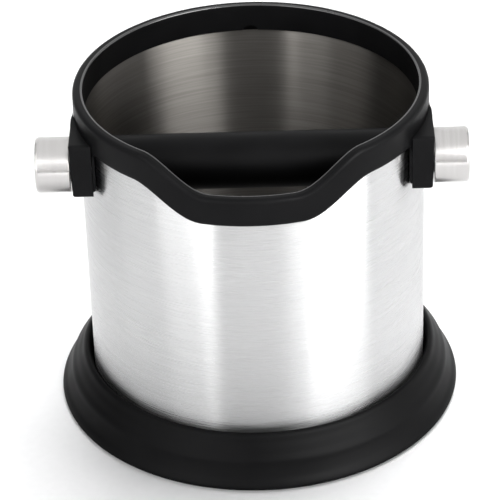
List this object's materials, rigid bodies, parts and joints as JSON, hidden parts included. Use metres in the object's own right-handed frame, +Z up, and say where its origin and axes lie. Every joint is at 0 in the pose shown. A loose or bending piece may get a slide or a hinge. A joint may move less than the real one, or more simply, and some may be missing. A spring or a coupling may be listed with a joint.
{
  "type": "espresso knock box",
  "caption": "Round steel espresso knock box with a notched black rim, a rubber base boot and a rubber-covered bar between two end knobs.",
  "frame": {"origin": "on the canister's axis, on the plane that the base boot rests on", "axes": "+X along the knock bar, towards the right knob seen from the notched front; -Y towards the notched front; +Z up"},
  "size_m": [0.156, 0.1528, 0.1295],
  "materials": {
    "steel": "brushed round the can",
    "knob": "turned and brushed",
    "zinc": "zinc plated",
    "rim": "satin",
    "nylon": "satin",
    "sleeve": "matt",
    "boot": "satin"
  },
  "bodies": {
    "canister": {"canister_wall": "steel", "canister_floor": "steel", "rim_collar": "rim", "base_boot": "boot", "side_block_left": "rim", "block_screw_left": "zinc", "pivot_stud_left": "zinc", "thrust_washer_left": "zinc", "saddle_bush_left": "nylon", "side_block_right": "rim", "block_screw_right": "zinc", "pivot_stud_right": "zinc", "thrust_washer_right": "zinc", "saddle_bush_right": "nylon"},
    "bar": {"knock_bar_core": "zinc", "knock_bar_sleeve": "sleeve"},
    "ring_carrier_left": {"o_ring_left": "sleeve"},
    "end_knob_left": {"knob_left": "knob"},
    "ring_carrier_right": {"o_ring_right": "sleeve"},
    "end_knob_right": {"knob_right": "knob"}
  },
  "joints": [
    {"name": "bar_spin", "type": "hinge", "parent": "canister", "child": "bar", "pos_m": [0, -0.022, 0.1091], "axis": [1, 0, 0], "continuous": true},
    {"name": "knob_left_travel", "type": "slide", "parent": "canister", "child": "ring_carrier_left", "axis": [-1, 0, 0], "range_m": [0, 0.005]},
    {"name": "knob_left_unscrew", "type": "hinge", "parent": "ring_carrier_left", "child": "end_knob_left", "pos_m": [-0.0718, -0.022, 0.1091], "axis": [-1, 0, 0], "range_deg": [0, 1800]},
    {"name": "knob_right_travel", "type": "slide", "parent": "canister", "child": "ring_carrier_right", "axis": [1, 0, 0], "range_m": [0, 0.005]},
    {"name": "knob_right_unscrew", "type": "hinge", "parent": "ring_carrier_right", "child": "end_knob_right", "pos_m": [0.0718, -0.022, 0.1091], "axis": [1, 0, 0], "range_deg": [0, 1800]}
  ],
  "couplings": [
    {"joint": "knob_left_unscrew", "follows": "knob_left_travel", "rad_per_m": 6283.2},
    {"joint": "knob_right_unscrew", "follows": "knob_right_travel", "rad_per_m": 6283.2}
  ]
}
